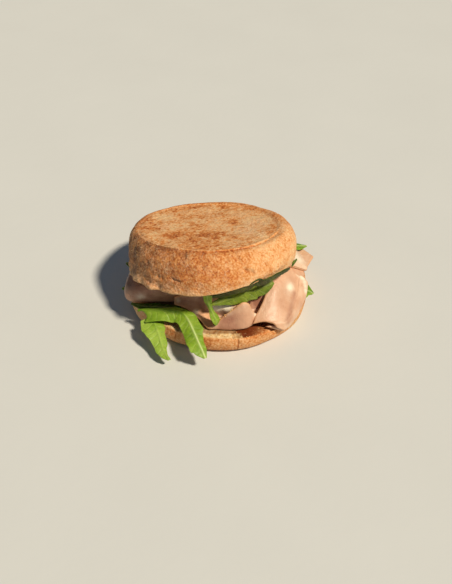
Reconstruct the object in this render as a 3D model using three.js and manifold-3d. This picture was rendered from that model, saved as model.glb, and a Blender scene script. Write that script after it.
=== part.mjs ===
// English muffin sandwich: a split, floured muffin filled with folded ham and rocket leaves.
//
// Millimetres, +Z up. The origin is the centre of the muffin's flat base. -Y is the open
// front, where the lid is raised on its filling, and +X is the right side, seen from there.
// Angles round the muffin are measured from +X towards +Y, so -90 degrees is the front.

import * as THREE from "three";
import { mergeVertices } from "three/addons/utils/BufferGeometryUtils.js";
import Module from "manifold-3d";

const wasm = await Module();
wasm.setup();

const { lerp, smoothstep, degToRad } = THREE.MathUtils;
const { sin, cos, hypot, min, max, exp, abs } = Math;

// ---- driving dimensions ----

const BASE_RADIUS = 48.5;
const BASE_HEIGHT = 11;
const LID_RADIUS = 43.6;
const LID_HEIGHT = 17;
const LID_PLACE = new THREE.Vector3(-4, -4.6, 26.8);
const LID_PITCH = degToRad(14.5);
const LID_ROLL = degToRad(-6);
const HAM = 1.6;
const LEAF = 0.7;
const CLEARANCE = 0.35;
const AROUND = 56;
const BEND_STEPS = 3;
const SMALLEST_STEP = 0.03;

// ---- small helpers ----

const point = (x, y, z) => new THREE.Vector3(x, y, z);

// 1 at the centre, fading to 0 over a width, for angles in degrees
function bump(angle, centre, width) {
  const away = ((((angle - centre) % 360) + 540) % 360) - 180;
  return exp(-((away / width) ** 2));
}

function angles(count) {
  return Array.from({ length: count }, (_, i) => (360 * i) / count - 180);
}

// ---- closed bodies ----

function geometryOf(vertices, triangles) {
  const geometry = new THREE.BufferGeometry();
  const coordinates = vertices.flatMap((v) => [v.x, v.y, v.z]);
  geometry.setAttribute("position", new THREE.Float32BufferAttribute(coordinates, 3));
  geometry.setIndex(triangles);
  return geometry;
}

// Rings of equal length, stacked from the bottom up, with a point closing each end
function ringSolid(bottom, rings, top) {
  const count = rings[0].length;
  const vertices = [bottom, ...rings.flat(), top];
  const last = vertices.length - 1;
  const at = (ring, step) => 1 + ring * count + (step % count);
  const triangles = [];
  for (let step = 0; step < count; step++) {
    triangles.push(0, at(0, step + 1), at(0, step));
    triangles.push(last, at(rings.length - 1, step), at(rings.length - 1, step + 1));
    for (let ring = 0; ring + 1 < rings.length; ring++) {
      triangles.push(at(ring, step), at(ring, step + 1), at(ring + 1, step + 1));
      triangles.push(at(ring, step), at(ring + 1, step + 1), at(ring + 1, step));
    }
  }
  return geometryOf(vertices, triangles);
}

// A sheet of even thickness whose middle surface is a grid of points
function sheetSolid(grid, thickness) {
  const rows = grid.length;
  const columns = grid[0].length;
  const [lastRow, lastColumn] = [rows - 1, columns - 1];
  const near = (i, j) => grid[min(max(i, 0), lastRow)][min(max(j, 0), lastColumn)];
  const faces = [[], []];
  for (let i = 0; i < rows; i++) {
    for (let j = 0; j < columns; j++) {
      const along = near(i + 1, j).clone().sub(near(i - 1, j));
      const across = near(i, j + 1).clone().sub(near(i, j - 1));
      const normal = along.cross(across).setLength(thickness / 2);
      faces[0].push(near(i, j).clone().add(normal));
      faces[1].push(near(i, j).clone().sub(normal));
    }
  }
  const upper = (i, j) => i * columns + j;
  const lower = (i, j) => rows * columns + i * columns + j;
  const triangles = [];
  const quad = (a, b, c, d) => triangles.push(a, b, c, a, c, d);
  for (let i = 0; i < lastRow; i++) {
    for (let j = 0; j < lastColumn; j++) {
      quad(upper(i, j), upper(i + 1, j), upper(i + 1, j + 1), upper(i, j + 1));
      quad(lower(i, j), lower(i, j + 1), lower(i + 1, j + 1), lower(i + 1, j));
    }
    quad(upper(i, 0), lower(i, 0), lower(i + 1, 0), upper(i + 1, 0));
    quad(upper(i + 1, lastColumn), lower(i + 1, lastColumn), lower(i, lastColumn), upper(i, lastColumn));
  }
  for (let j = 0; j < lastColumn; j++) {
    quad(upper(0, j + 1), lower(0, j + 1), lower(0, j), upper(0, j));
    quad(upper(lastRow, j), lower(lastRow, j), lower(lastRow, j + 1), upper(lastRow, j + 1));
  }
  return geometryOf([...faces[0], ...faces[1]], triangles);
}

// ---- muffin halves ----

// The muffin isn't a true circle: how far its side stands out at an angle
function unevenness(angle) {
  const a = degToRad(angle);
  return 0.35 * sin(3 * a + 0.6) + 0.3 * sin(5 * a + 2.1) + 0.2 * sin(9 * a + 0.4);
}

// Lower half: flat foot, rounded side, and a flat cut face whose edge is worn round
// to the right of a crack at the front
const BASE_PROFILE = [
  { radius: 0.5 * BASE_RADIUS, height: 0 },
  { radius: BASE_RADIUS - 5.5, height: 0 },
  { radius: BASE_RADIUS - 2.6, height: 0.9 },
  { radius: BASE_RADIUS - 0.8, height: 2.9 },
  { radius: BASE_RADIUS, height: 6.3 },
  { radius: BASE_RADIUS - 0.3, height: 9 },
  { radius: BASE_RADIUS - 1, height: BASE_HEIGHT, wear: 1 },
  { radius: BASE_RADIUS - 3, height: BASE_HEIGHT, wear: 0.5 },
  { radius: 0.75 * BASE_RADIUS, height: BASE_HEIGHT - 0.2 },
  { radius: 0.4 * BASE_RADIUS, height: BASE_HEIGHT - 0.3 },
];
const FULLER_SIDE = { angle: -30, width: 32, by: 1.2 };
const CRACK = { angle: -77.5, depth: 4, width: 1.4, bottom: 8.5, slope: degToRad(9) };
const WORN_RIM = { angle: CRACK.angle + 27, width: 20, back: 1.5, down: 1.2 };

function baseSolid() {
  const rings = BASE_PROFILE.map(({ radius, height, wear = 0 }) =>
    angles(AROUND).map((angle) => {
      const worn = wear * bump(angle, WORN_RIM.angle, WORN_RIM.width);
      const outward = smoothstep(radius, 0.7 * BASE_RADIUS, BASE_RADIUS);
      const fuller = FULLER_SIDE.by * bump(angle, FULLER_SIDE.angle, FULLER_SIDE.width);
      const r = radius + outward * (unevenness(angle) + fuller) - WORN_RIM.back * worn;
      const a = degToRad(angle);
      return point(r * cos(a), r * sin(a), height - WORN_RIM.down * worn);
    }),
  );
  return ringSolid(point(0, 0, 0), rings, point(0, 0, BASE_HEIGHT - 0.3));
}

// Wedge that opens the crack from the rim down the side
function crackSolid() {
  const outside = BASE_RADIUS + 2;
  const wedge = new THREE.Shape();
  wedge.moveTo(BASE_RADIUS - CRACK.depth, 0);
  wedge.lineTo(outside, -CRACK.width / 2);
  wedge.lineTo(outside, CRACK.width / 2);
  const geometry = new THREE.ExtrudeGeometry(wedge, { depth: BASE_HEIGHT, bevelEnabled: false });
  geometry.rotateY(CRACK.slope);
  geometry.translate(0, 0, CRACK.bottom);
  geometry.rotateZ(degToRad(CRACK.angle));
  return geometry;
}

// Upper half, in a frame of its own: the cut face is level, and stations climb the side to
// a pressed face with a raised ridge round it. Each station may lean and sit off centre.
const LID_STATIONS = [
  { radius: LID_RADIUS - 2, height: 0, shift: [0, 0], lean: [0, 0], lift: 1 },
  { radius: LID_RADIUS - 0.4, height: 2.6, shift: [1.1, 0.5], lean: [0, 1], lift: 0.5 },
  { radius: LID_RADIUS, height: 6.5, shift: [1.7, 1], lean: [0, 2], lift: 0.15 },
  { radius: LID_RADIUS - 0.5, height: 10.8, shift: [2, 1.9], lean: [0.5, 2.5] },
  { radius: LID_RADIUS - 1.5, height: 13.6, shift: [1.6, 2.5], lean: [1, 2.2] },
  { radius: LID_RADIUS - 3, height: 15.6, shift: [0.9, 2.8], lean: [1.3, 2] },
  { radius: LID_RADIUS - 4.4, height: 16.1, shift: [0.4, 2], lean: [2.4, 3.4] },
  { radius: LID_RADIUS - 5.6, height: 16.8, shift: [-0.5, 0.8], lean: [4, 5.5], crease: 0.9 },
  { radius: LID_RADIUS - 6.3, height: LID_HEIGHT + 0.1, shift: [-0.7, 0.6], lean: [4, 5.5] },
];
const RIDGE = LID_STATIONS.at(-1);
const FACE_RINGS = [
  { share: 0.95, drop: 0.8 },
  { share: 0.8, drop: 0.9 },
  { share: 0.5, drop: 0.6 },
  { share: 0.2, drop: 0.5 },
];

// The cut edge is wavy: lifted at the left and at the front right, lower at the right
function wavyEdge(angle) {
  return 2.2 * bump(angle, -145, 30) + 1.7 * bump(angle, -58, 22) - 2.4 * bump(angle, -12, 22);
}

function stationPoint(station, angle, share = 1, drop = 0) {
  const { radius, height, shift, lean, lift = 0, crease = 0 } = station;
  const a = degToRad(angle);
  const r = share * (radius + unevenness(angle + 140));
  const at = point(r * cos(a), r * sin(a), -drop);
  at.applyEuler(new THREE.Euler(-degToRad(lean[0]), degToRad(lean[1]), 0));
  const z = height + lift * wavyEdge(angle) - crease * bump(angle, -40, 70);
  return at.add(point(shift[0], shift[1], z));
}

const lidFrame = new THREE.Matrix4()
  .makeRotationFromEuler(new THREE.Euler(-LID_PITCH, LID_ROLL, 0))
  .setPosition(LID_PLACE);

function lidSolid() {
  const edge = LID_STATIONS[0];
  const ring = (station, share, drop) =>
    angles(AROUND).map((angle) => stationPoint(station, angle, share, drop));
  const rings = [
    ring(edge, 0.45, -0.6),
    ring(edge, 0.92, -0.5),
    ...LID_STATIONS.map((station) => ring(station)),
    ...FACE_RINGS.map(({ share, drop }) => ring(RIDGE, share, drop)),
  ];
  const top = point(RIDGE.shift[0], RIDGE.shift[1], RIDGE.height - 0.4);
  return ringSolid(point(0, 0, 0.6), rings, top).applyMatrix4(lidFrame);
}

// Height of the lid's cut face over a place on the base
const lidNormal = point(0, 0, 1).transformDirection(lidFrame);

function lidUnderside(x, y) {
  const fall = lidNormal.x * (x - LID_PLACE.x) + lidNormal.y * (y - LID_PLACE.y);
  return LID_PLACE.z - fall / lidNormal.z;
}

// ---- ham ----

// Closed outline through a few corners in plan, each corner rounded
function roundedOutline(corners, rounding, count) {
  const path = new THREE.Path();
  corners.forEach((corner, i) => {
    const start = corners.at(i - 1).clone().sub(corner).setLength(rounding).add(corner);
    const end = corners[(i + 1) % corners.length].clone().sub(corner).setLength(rounding).add(corner);
    if (i === 0) path.moveTo(start.x, start.y);
    else path.lineTo(start.x, start.y);
    path.quadraticCurveTo(corner.x, corner.y, end.x, end.y);
  });
  path.closePath();
  return path.getSpacedPoints(count).slice(0, count);
}

const plan = (...pairs) => pairs.map(([x, y]) => new THREE.Vector2(x, y));

// Folded slices pressed into one layer: an outline with a round edge between two surfaces
function layerSolid(outline, lower, upper, edge) {
  const total = outline.reduce((sum, p) => sum.add(p), new THREE.Vector2());
  const centre = total.divideScalar(outline.length);
  const inset = (p, distance) => p.clone().lerp(centre, distance / p.distanceTo(centre));
  const ring = (distance, share) =>
    outline.map((p) => {
      const { x, y } = inset(p, distance(p));
      return point(x, y, lerp(lower(x, y), upper(x, y), share));
    });
  const inner = (part) => (p) => lerp(p.distanceTo(centre), edge, part);
  const round = [-90, -60, -30, 0, 30, 60, 90].map(degToRad);
  const rings = [
    ring(inner(0.35), 0),
    ring(inner(0.7), 0),
    ...round.map((a) => ring(() => edge * (1 - cos(a)), (1 + sin(a)) / 2)),
    ring(inner(0.7), 1),
    ring(inner(0.35), 1),
  ];
  const { x, y } = centre;
  return ringSolid(point(x, y, lower(x, y)), rings, point(x, y, upper(x, y)));
}

// Straight legs between corner points, with a soft bend at each inner corner
function bentLine(corners, bend) {
  const line = [corners[0]];
  let from = corners[0];
  for (let i = 1; i + 1 < corners.length; i++) {
    const corner = corners[i];
    const legs = [corners[i - 1], corners[i + 1]].map((end) => end.clone().sub(corner));
    const [start, end] = legs.map((leg) => leg.setLength(min(bend, 0.45 * leg.length())).add(corner));
    line.push(from.clone().lerp(start, 0.5));
    line.push(...new THREE.QuadraticBezierCurve3(start, corner, end).getPoints(BEND_STEPS));
    from = end;
  }
  return [...line, from.clone().lerp(corners.at(-1), 0.5), corners.at(-1)];
}

// One slice: its folded section is given at a few stations and blended along the slice
function foldedSlice(stations, bend, along) {
  const tracks = stations[0].map(
    (_, corner) => new THREE.CatmullRomCurve3(stations.map((section) => section[corner])),
  );
  const grid = Array.from({ length: along + 1 }, (_, i) => {
    const section = tracks.map((track) => track.getPoint(i / along));
    return bentLine(section, bend);
  });
  return sheetSolid(grid, HAM);
}

const LAYER_FLOOR = BASE_HEIGHT + CLEARANCE;
const underLid = (x, y) => lidUnderside(x, y) - CLEARANCE;

// Left layer: its folded edge bulges out under the front left of the lid
function hamLeft() {
  const corners = plan([-48.8, -24.8], [-8, -25.6], [-5.4, 46.5], [-31, 42], [-46, 4]);
  const outline = roundedOutline(corners, 6, 48);
  const lower = (x, y) => LAYER_FLOOR + 2.7 * smoothstep(-y, 2, 20);
  const upper = (x, y) => min(underLid(x, y), 27.5 - 6 * smoothstep(-x, 26, 50));
  return layerSolid(outline, lower, upper, 3.2);
}

// Middle layer: a mound that carries the lid and slopes down to the right rim
const moundTop = (x, y) => min(underLid(x, y), 13.4 + 0.9 * max(0, 48 - hypot(x, y)));

function hamMiddle() {
  const right = plan([30, -17], [49, -14], [48.5, 6], [38, 34], [14, 47]);
  const left = plan([-3.8, 46], [-3.8, -17]);
  const outline = roundedOutline([...right, ...left], 6, 48);
  return layerSolid(outline, () => LAYER_FLOOR, (x, y) => moundTop(x, y) - 3.2, 1);
}

// Upper slice draped over the mound, with a square corner standing out past the rim
function hamCorner() {
  const edges = [
    [point(20, 2, 0), point(46.5, 3.6, 0)],
    [point(14, 10, 0), point(52.4, 14.4, 0)],
    [point(6, 30, 0), point(31, 40, 0)],
  ];
  const cornerAt = 0.4;
  const rows = 9;
  const columns = 10;
  const grid = Array.from({ length: rows + 1 }, (_, i) =>
    Array.from({ length: columns + 1 }, (_, j) => {
      const v = j / columns;
      const leg = v < cornerAt ? 0 : 1;
      const share = leg ? (v - cornerAt) / (1 - cornerAt) : v / cornerAt;
      const end = (side) => edges[leg][side].clone().lerp(edges[leg + 1][side], share);
      const at = end(0).lerp(end(1), i / rows);
      at.z = moundTop(at.x, at.y) - 0.55 * HAM;
      return at;
    }),
  );
  return sheetSolid(grid, HAM);
}

// Right slice: folded over along the muffin's right rim and open at the front, where its
// lip hangs over the edge. Each section runs from the inner end over the crest, the
// crease, the rim and the side to the tail below, as [x, z] at one y.
function hamRight() {
  const at = (y, ...corners) => corners.map(([x, z]) => point(x, y, z));
  const stations = [
    at(-39.6, [18.5, 14.4], [24.5, 15.2], [31.6, 12.8], [33.8, 13.2], [36.2, 11], [34.6, 9.2], [30, 10]),
    at(-35, [21, 17.8], [26.8, 18.4], [35.2, 13.6], [37.6, 14.2], [40, 11.4], [38.4, 10], [33, 12]),
    at(-28, [23.5, 23.6], [29.5, 23.4], [37.4, 14.8], [40, 15.8], [43, 12.6], [41.6, 11.2], [36, 12.2]),
    at(-20, [25, 28.5], [33.5, 26.4], [40.2, 17.8], [42.6, 18.4], [46, 14.8], [44.4, 12.4], [39, 12.8]),
    at(-12, [27, 31], [35, 28], [41.4, 21.8], [43.6, 21], [47.2, 17], [46, 13.8], [41, 13.2]),
  ];
  return foldedSlice(stations, 3, 12);
}

// Centre slice: a pocket, folded at the bottom near the front rim. Its back leg climbs
// under the lid and its front leg stands up, highest beside the right slice. Each section
// runs down from the top over the knee and the fold to the free edge, as [y, z] at one x.
function hamCenter() {
  const at = (x, ...corners) => corners.map(([y, z]) => point(x, y, z));
  const stations = [
    at(-22, [-27.2, 20.5], [-27.4, 18.5], [-27.6, 16.8], [-28, 15.8]),
    at(-15.5, [-27.4, 22.5], [-28, 19], [-29.6, 16], [-30.6, 15]),
    at(-9, [-27.5, 24], [-30, 19], [-35.6, 14.8], [-37, 14]),
    at(-4.6, [-23.6, 27.4], [-31, 17.2], [-40.2, 13], [-42.4, 12.8]),
    at(-1.6, [-21.4, 28.6], [-31, 16.4], [-42.4, 12.4], [-42.8, 14.8]),
    at(1.4, [-20, 29], [-31, 16], [-43.8, 12.2], [-40.2, 17]),
    at(7, [-20, 29.6], [-31, 15.4], [-44.4, 12.2], [-36.2, 21]),
    at(12.8, [-20, 30], [-31, 15.4], [-43, 12.2], [-35.4, 24.6]),
    at(18, [-22, 30], [-31, 17], [-39.8, 12.8], [-37.8, 19]),
  ];
  return foldedSlice(stations, 2.4, 20);
}

// ---- rocket leaves ----

// Blade swept along its midrib. Each station gives the midrib's place, the blade's width
// to its left and right, and its lean about the midrib in degrees.
function leafSolid(stations, along = 14, across = 4, cup = 0.12) {
  const rib = new THREE.CatmullRomCurve3(stations.map(({ at }) => point(...at)));
  const spread = stations.map(({ left, right, lean }) => point(left, right, lean));
  const sizes = new THREE.CatmullRomCurve3(spread);
  const grid = Array.from({ length: along + 1 }, (_, i) => {
    const t = i / along;
    const centre = rib.getPoint(t);
    const forward = rib.getTangent(t);
    const { x: left, y: right, z: lean } = sizes.getPoint(t);
    const level = forward.clone().cross(point(0, 0, 1)).normalize();
    const side = level.applyAxisAngle(forward, degToRad(lean));
    const face = side.clone().cross(forward);
    return Array.from({ length: across + 1 }, (_, j) => {
      const w = lerp(-max(left, 0.5), max(right, 0.5), j / across);
      return centre.clone().addScaledVector(side, w).addScaledVector(face, -cup * abs(w));
    });
  });
  return sheetSolid(grid, LEAF);
}

const leaf = (left, right, lean, ...at) => ({ at, left, right, lean });

const LEAVES = {
  leaf_front: [
    leaf(0.8, 1, 30, -40.6, -30.6, 14),
    leaf(1, 6.8, 30, -34, -31, 14.8),
    leaf(1, 6.6, 30, -26, -31.2, 15.2),
    leaf(1.6, 7.2, 25, -19, -32.4, 15.4),
    leaf(4.4, 5.4, 18, -15, -38.6, 16),
    leaf(4, 5.4, 6, -11.9, -46.3, 15.3),
    leaf(2.8, 5.6, -6, -8.9, -53.4, 13),
    leaf(2.4, 4.2, -6, -7.2, -56.9, 11.4),
    leaf(0.7, 0.7, 0, -5.8, -59.8, 9.5),
  ],
  leaf_left: [
    leaf(4, 4, 0, -34.3, -34.9, 12.2),
    leaf(5.4, 5.4, 0, -31.4, -40.3, 11.2),
    leaf(4.6, 5, 0, -29, -45.9, 9.6),
    leaf(4, 3.6, 0, -27.8, -49.8, 8),
    leaf(3, 2.6, 0, -26.2, -53.5, 6.5),
    leaf(0.7, 0.7, 0, -24.2, -57.2, 5.5),
  ],
  leaf_behind: [
    leaf(0.7, 0.7, 0, -44.6, -24.2, 13),
    leaf(2.6, 2.4, 0, -38, -26.4, 13),
    leaf(3, 2.6, 0, -29, -27.2, 13.2),
    leaf(2, 2.4, 0, -19, -28.6, 13.4),
  ],
  leaf_center: [
    leaf(1.2, 1.2, 56, -5.6, -41.6, 34.6),
    leaf(1.8, 1.8, 56, -4.4, -40.6, 28),
    leaf(2, 2, 56, -2.7, -41.4, 23),
    leaf(1.8, 1.8, 56, -1, -42.6, 19),
    leaf(0.6, 0.6, 56, -0.8, -43.4, 16),
  ],
  leaf_under: [
    leaf(0.8, 0.8, 25, -2.2, -38.8, 25),
    leaf(8, 2.2, 22, 8.6, -37.7, 27.2),
    leaf(9, 2.3, 20, 17, -35.9, 28.4),
    leaf(7, 2, 20, 24.9, -32, 29.6),
    leaf(0.8, 0.8, 20, 30.5, -26.5, 31),
  ],
  leaf_top: [
    leaf(3, 1, 16, 4, -40, 32),
    leaf(9, 1.4, 16, 12, -37.4, 33.4),
    leaf(9, 1.8, 16, 21, -32.4, 34),
    leaf(3, 1.2, 20, 29.6, -25.1, 33.4),
    leaf(0.8, 0.8, 20, 35.6, -19.2, 31.8),
    leaf(0.8, 0.8, 20, 38.6, -11, 29.6),
    leaf(0.7, 0.7, 20, 40.8, -5, 28.4),
  ],
  leaf_right_top: [
    leaf(1.5, 1.5, 0, 37, 18, 19),
    leaf(2.8, 2.8, 0, 43.4, 18.6, 17),
    leaf(0.7, 0.7, 0, 48.8, 19.6, 16),
  ],
  leaf_right_low: [
    leaf(2, 2, 0, 42.6, -11.8, 12.8),
    leaf(4.8, 5, 0, 46.8, -12.4, 12),
    leaf(0.7, 0.7, 0, 50.4, -13.2, 11.2),
  ],
  leaf_left_tip: [
    leaf(1.5, 1.5, 0, -42, -12, 12.6),
    leaf(3, 3, 0, -46.6, -12.4, 13),
    leaf(0.7, 0.7, 0, -50.4, -12, 13),
  ],
  leaf_left_back: [
    leaf(1.5, 1.5, 0, -41, 5.5, 13),
    leaf(3, 3, 0, -46, 5.8, 14),
    leaf(0.7, 0.7, 0, -50, 6, 15),
  ],
};

// ---- assembly ----

function toSolid(geometry) {
  const bare = geometry.clone();
  bare.deleteAttribute("normal");
  bare.deleteAttribute("uv");
  const merged = mergeVertices(bare, 1e-4);
  return new wasm.Manifold(
    new wasm.Mesh({
      numProp: 3,
      vertProperties: Float32Array.from(merged.attributes.position.array),
      triVerts: Uint32Array.from(merged.index.array),
    }),
  );
}

function toGeometry(solid) {
  const { vertProperties, triVerts } = solid.getMesh();
  const geometry = new THREE.BufferGeometry();
  geometry.setAttribute("position", new THREE.BufferAttribute(vertProperties, 3));
  geometry.setIndex(new THREE.BufferAttribute(triVerts, 1));
  return welded(geometry);
}

// Merges points that nearly touch, and drops the triangles that vanish with them
function welded(geometry) {
  const merged = mergeVertices(geometry, 0.5 * SMALLEST_STEP);
  const corners = Array.from(merged.index.array);
  const triangles = [];
  for (let i = 0; i < corners.length; i += 3) {
    const triangle = corners.slice(i, i + 3);
    if (new Set(triangle).size === 3) triangles.push(...triangle);
  }
  merged.setIndex(triangles);
  return merged;
}

// The same body with every point moved out along its normal
function grown(geometry, distance) {
  const bigger = geometry.clone();
  bigger.computeVertexNormals();
  const { position, normal } = bigger.attributes;
  for (let i = 0; i < position.count; i++) {
    position.setXYZ(
      i,
      position.getX(i) + distance * normal.getX(i),
      position.getY(i) + distance * normal.getY(i),
      position.getZ(i) + distance * normal.getZ(i),
    );
  }
  return bigger;
}

const CRUST = { color: 0xd6935a, roughness: 0.9, metalness: 0 };
const HAM_LOOK = { color: 0xe9bd9b, roughness: 0.45, metalness: 0 };
const LEAF_LOOK = { color: 0x87a03c, roughness: 0.5, metalness: 0 };

const parts = [
  ["muffin_bottom", baseSolid(), CRUST],
  ["muffin_top", lidSolid(), CRUST],
  ["ham_left", hamLeft(), HAM_LOOK],
  ["ham_middle", hamMiddle(), HAM_LOOK],
  ["ham_corner", hamCorner(), HAM_LOOK],
  ["ham_right", hamRight(), HAM_LOOK],
  ["ham_center", hamCenter(), HAM_LOOK],
  ...Object.entries(LEAVES).map(([name, stations]) => [name, leafSolid(stations), LEAF_LOOK]),
];

const sandwich = new THREE.Group();
sandwich.name = "muffin_sandwich";

// Each piece gives way to the ones placed before it, so that all of them stay clear
const placed = [];
for (const [name, geometry, look] of parts) {
  let solid = toSolid(geometry);
  if (name === "muffin_bottom") solid = solid.subtract(toSolid(crackSolid()));
  for (const neighbour of placed) solid = solid.subtract(neighbour);
  const pieces = solid.asOriginal().simplify(SMALLEST_STEP).decompose();
  const [largest] = pieces.sort((a, b) => b.volume() - a.volume());
  const mesh = new THREE.Mesh(toGeometry(largest), new THREE.MeshStandardMaterial(look));
  mesh.name = name;
  sandwich.add(mesh);
  placed.push(toSolid(grown(geometry, CLEARANCE)));
}

export default sandwich;
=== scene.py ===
"""Looks for the muffin sandwich: a finer mesh and a finish for every piece of the frame."""

from itertools import product

import bmesh
import bpy
import numpy as np
from mathutils import Euler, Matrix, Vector


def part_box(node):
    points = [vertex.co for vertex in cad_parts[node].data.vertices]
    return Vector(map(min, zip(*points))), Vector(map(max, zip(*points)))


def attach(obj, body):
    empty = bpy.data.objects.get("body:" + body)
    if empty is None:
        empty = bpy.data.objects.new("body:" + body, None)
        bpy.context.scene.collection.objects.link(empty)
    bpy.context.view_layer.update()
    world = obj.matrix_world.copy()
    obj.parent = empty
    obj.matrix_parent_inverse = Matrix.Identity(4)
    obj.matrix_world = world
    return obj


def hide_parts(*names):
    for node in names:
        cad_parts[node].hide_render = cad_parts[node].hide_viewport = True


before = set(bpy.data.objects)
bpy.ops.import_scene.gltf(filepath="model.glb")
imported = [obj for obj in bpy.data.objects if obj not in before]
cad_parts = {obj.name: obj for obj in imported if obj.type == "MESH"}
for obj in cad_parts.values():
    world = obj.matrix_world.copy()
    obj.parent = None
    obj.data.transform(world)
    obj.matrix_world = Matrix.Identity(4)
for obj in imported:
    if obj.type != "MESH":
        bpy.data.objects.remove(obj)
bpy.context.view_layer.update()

# ---- sizes ----
#
# Lengths below are in millimetres of the frame's own part, with the origin in the middle
# of the muffin's foot. UNIT turns them into metres and is taken from the frame.

BASE_WIDTH = 97.46
base_low, base_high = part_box("muffin_bottom")
UNIT = (base_high.x - base_low.x) / BASE_WIDTH
BASE_RADIUS = 48.5
BASE_HEIGHT = (base_high.z - base_low.z) / UNIT
LID_RADIUS = 43.6
LID_PLACE = np.array([-4, -4.6, 26.8])
LID_TILT = np.array(Euler((np.radians(-14.5), np.radians(-6), 0), "ZYX").to_matrix())
HAM = 1.6
LEAF = 0.45
CLEARANCE = 0.35

# ---- numbers and noise ----

LATTICE = np.random.default_rng(11).random((64, 64, 64))


def smoothstep(x, low, high):
    t = np.clip((x - low) / (high - low), 0, 1)
    return t * t * (3 - 2 * t)


def hill(value, centre, width):
    """1 at the centre, fading to 0 over a width"""
    return np.exp(-(((value - centre) / width) ** 2))


def bump(angle, centre, width):
    """A hill round a centre, for angles in degrees, which come round again after 360"""
    return hill((angle - centre + 180) % 360, 180, width)


def lerp(a, b, share):
    return a + (b - a) * share


def noise(points, size, seed=0):
    """Smooth noise from -1 to 1 whose features are about one size across"""
    at = np.asarray(points) / size + 13.7 * (seed + 1)
    cell = np.floor(at).astype(int)
    part = at - cell
    part = part * part * (3 - 2 * part)
    total = 0
    for corner in product((0, 1), repeat=3):
        weight = np.prod(np.where(corner, part, 1 - part), axis=-1)
        i, j, k = np.moveaxis((cell + corner) % 64, -1, 0)
        total = total + weight * LATTICE[i, j, k]
    return 2 * total - 1


def rough(points, size, octaves=3, seed=0):
    """Noise with finer and fainter copies added"""
    layers = [noise(points, size / 2**n, seed + 5 * n) / 1.8**n for n in range(octaves)]
    return sum(layers) / sum(1 / 1.8**n for n in range(octaves))


def spline(knots, t):
    """Centripetal Catmull-Rom curve through the knots, at t from 0 to 1"""
    knots = np.asarray(knots, float)
    ends = 2 * knots[[0, -1]] - knots[[1, -2]]
    line = np.vstack([ends[:1], knots, ends[1:]])
    place = np.clip(np.asarray(t) * (len(knots) - 1), 0, len(knots) - 1 - 1e-9)
    i = place.astype(int)
    w = (place - i)[:, None]
    a, b, c, d = line[i], line[i + 1], line[i + 2], line[i + 3]
    legs = (b - a, c - b, d - c)
    gap = [np.sqrt(np.linalg.norm(leg, axis=1))[:, None] + 1e-6 for leg in legs]
    start = ((b - a) / gap[0] - (c - a) / (gap[0] + gap[1]) + (c - b) / gap[1]) * gap[1]
    stop = ((c - b) / gap[1] - (d - b) / (gap[1] + gap[2]) + (d - c) / gap[2]) * gap[1]
    cubic = 2 * b - 2 * c + start + stop
    square = -3 * b + 3 * c - 2 * start - stop
    return b + w * (start + w * (square + w * cubic))


def path_length(path):
    """How far along a path each of its points lies; a grid holds one path in each column"""
    steps = np.linalg.norm(np.diff(path, axis=0), axis=-1)
    return np.concatenate([0 * steps[:1], np.cumsum(steps, axis=0)])


# ---- meshes ----


def make_piece(name, points, faces, slot, material, replaced=(), values=None):
    """A smooth mesh piece from points in millimetres, with named numbers at its points"""
    mesh = bpy.data.meshes.new(name)
    mesh.from_pydata(np.asarray(points) * UNIT, [], faces)
    mesh.polygons.foreach_set("use_smooth", np.ones(len(mesh.polygons), bool))
    for key, numbers in (values or {}).items():
        attribute = mesh.attributes.new(key, "FLOAT", "POINT")
        attribute.data.foreach_set("value", np.asarray(numbers, np.float32).ravel())
    mesh.materials.append(material)
    mesh.validate()
    mesh.update()
    piece = bpy.data.objects.new(name, mesh)
    bpy.context.scene.collection.objects.link(piece)
    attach(piece, "root")
    if replaced:
        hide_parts(*replaced)


def unit(vectors):
    return vectors / (np.linalg.norm(vectors, axis=-1, keepdims=True) + 1e-9)


def vertex_normals(grid, around):
    """Unit normals of a grid of points, which may close on itself along its rows"""
    down = np.gradient(grid, axis=0)
    if around:
        along = (np.roll(grid, -1, axis=1) - np.roll(grid, 1, axis=1)) / 2
    else:
        along = np.gradient(grid, axis=1)
    return unit(np.cross(along, down))


def ring_faces(rows, count):
    """Faces of stacked rings, then a fan to a point at each end"""
    step = np.arange(count)
    ahead = (step + 1) % count
    faces = []
    for row in range(rows - 1):
        low, high = row * count, (row + 1) * count
        faces += np.stack([low + step, low + ahead, high + ahead, high + step], 1).tolist()
    bottom, top = rows * count, rows * count + 1
    last = (rows - 1) * count
    faces += np.stack([np.full(count, bottom), ahead, step], 1).tolist()
    faces += np.stack([np.full(count, top), last + step, last + ahead], 1).tolist()
    return faces


def ring_body(rings, values):
    """Points, faces and values of a closed body from rings stacked from the bottom up"""
    rows, count, _ = rings.shape
    points = np.vstack([rings.reshape(-1, 3), rings[0].mean(0), rings[-1].mean(0)])
    filled = {
        key: np.concatenate([grid.ravel(), [grid[0].mean(), grid[-1].mean()]])
        for key, grid in values.items()
    }
    return points, ring_faces(rows, count), filled


def edge_distance(grid):
    """How far each point of a sheet's grid is from the sheet's edge"""
    first = path_length(grid)
    second = path_length(grid.swapaxes(0, 1)).T
    pairs = (first, first[-1:] - first, second, second[:, -1:] - second)
    return np.minimum.reduce(pairs)


def close_edges(grid, distances):
    """Adds rows and columns of points near all four edges, so that they can be rounded"""
    for _ in range(2):
        for _ in range(2):
            span = np.linalg.norm(grid[1] - grid[0], axis=-1)[:, None]
            shares = [np.minimum(d / span, 0.9) for d in distances]
            extra = [lerp(grid[0], grid[1], share) for share in shares]
            grid = np.concatenate([grid[:1], extra, grid[1:]])[::-1]
        grid = grid.swapaxes(0, 1)
    return grid


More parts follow.
